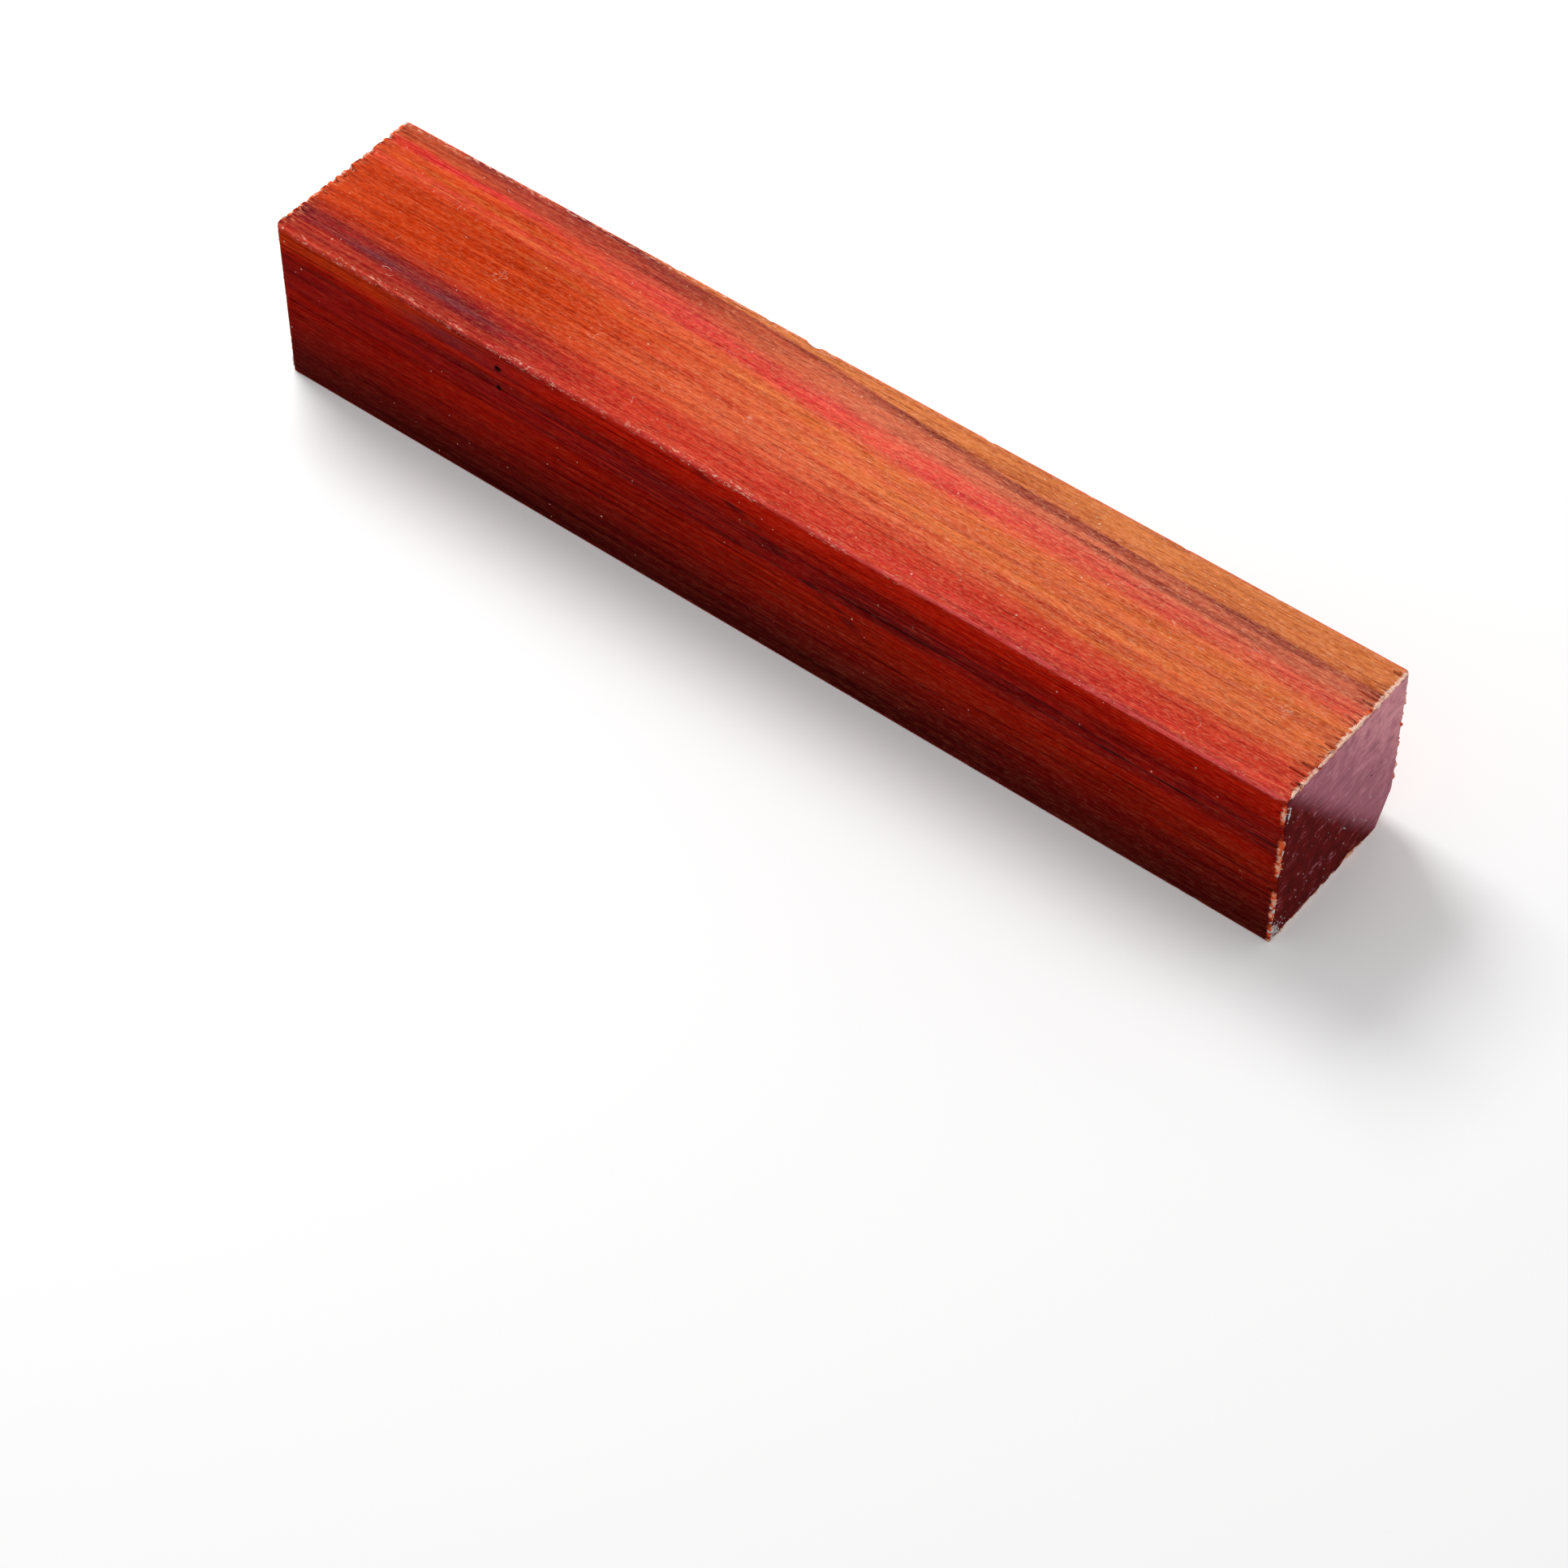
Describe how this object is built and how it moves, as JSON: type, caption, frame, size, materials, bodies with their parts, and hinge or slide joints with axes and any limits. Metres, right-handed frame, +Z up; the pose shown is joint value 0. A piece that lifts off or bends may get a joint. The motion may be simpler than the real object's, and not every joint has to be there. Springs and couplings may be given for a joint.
{
  "type": "wood turning blank",
  "caption": "Square-section length of figured red hardwood with wax-sealed ends, to be turned between centres on a lathe.",
  "frame": {"origin": "centre of the rectangle that the blank rests on, on the resting face", "axes": "+X along the grain and the blank's length, +Y across towards the far face, +Z up from the resting face to the top face"},
  "size_m": [0.305, 0.05, 0.05],
  "materials": {
    "red_heartwood": "planed bare heartwood with orange, red and brown streaks along the grain; satin, end faces sealed with dark wax"
  },
  "bodies": {
    "root": {"turning_blank": "red_heartwood"}
  },
  "joints": []
}
